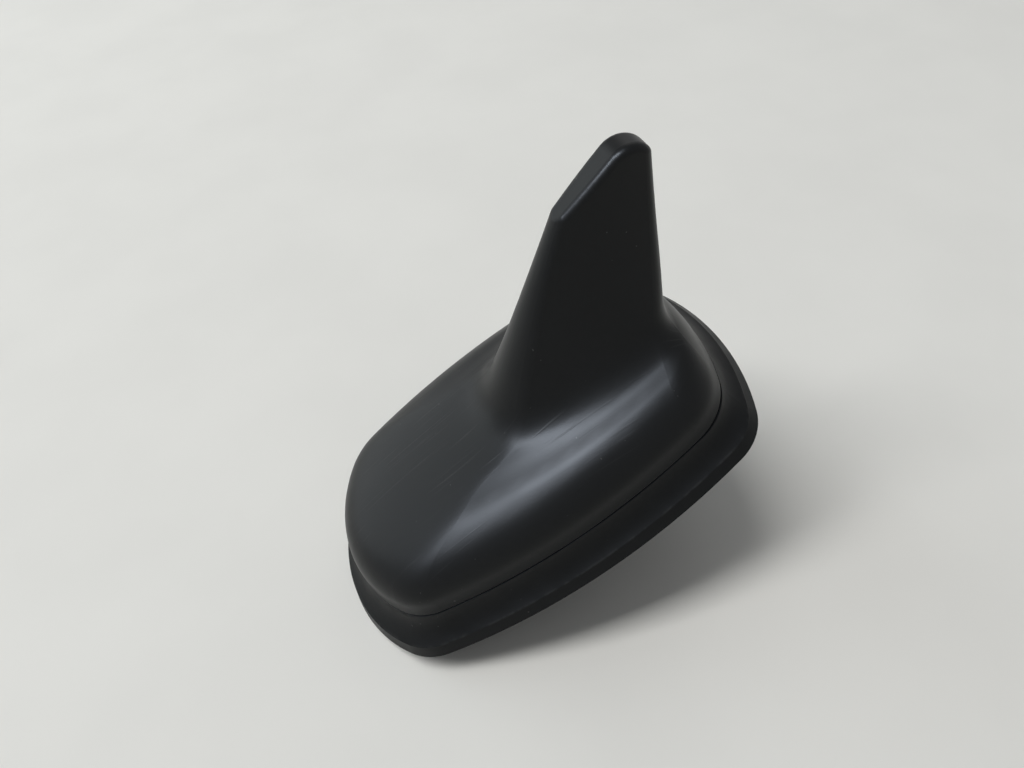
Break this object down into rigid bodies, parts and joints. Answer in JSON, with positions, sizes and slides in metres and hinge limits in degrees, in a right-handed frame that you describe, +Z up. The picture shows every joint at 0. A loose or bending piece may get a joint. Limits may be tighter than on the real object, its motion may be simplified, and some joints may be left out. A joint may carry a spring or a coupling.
{
  "type": "car gps antenna",
  "caption": "Black moulded roof antenna with a swept fin on a rounded hood, a flared rubber roof seal and a hollow mounting stud below.",
  "frame": {"origin": "on the axis of the hollow stud, in the roof plane where the seal's underside rests", "axes": "+Z up from the roof, +Y towards the tail with the nose at -Y, +X to the antenna's left"},
  "size_m": [0.0716, 0.1168, 0.0889],
  "materials": {
    "hood_black": "fine moulded grain, lightly scratched",
    "seal_black": "soft matt rubber, scuffed edge",
    "cast_metal": "as cast, light grey",
    "stud_metal": "turned, zinc plated",
    "gasket_grey": "soft foam rubber",
    "screw_steel": "zinc plated",
    "board_green": "varnished glass fibre board",
    "pad_white": "adhesive pad",
    "block_cream": "fired, unglazed",
    "silver_plate": "silvered",
    "pin_metal": "plated",
    "can_tin": "tinned sheet",
    "chip_black": "moulded",
    "copper": "bare copper"
  },
  "bodies": {
    "root": {"hood": "hood_black", "roof_seal": "seal_black", "base_plate": "cast_metal", "mount_stud": "stud_metal", "hood_gasket": "gasket_grey", "hood_screws": "screw_steel", "main_board": "board_green", "board_screws": "screw_steel", "patch_pad": "pad_white", "patch_block": "block_cream", "patch_plate": "silver_plate", "patch_pin": "pin_metal", "amplifier_can": "can_tin", "amplifier_chips": "chip_black", "lead_sleeves": "pin_metal", "fin_board": "board_green", "fin_tracks": "copper", "contact_clip": "copper", "fin_cushions": "gasket_grey"}
  },
  "joints": []
}
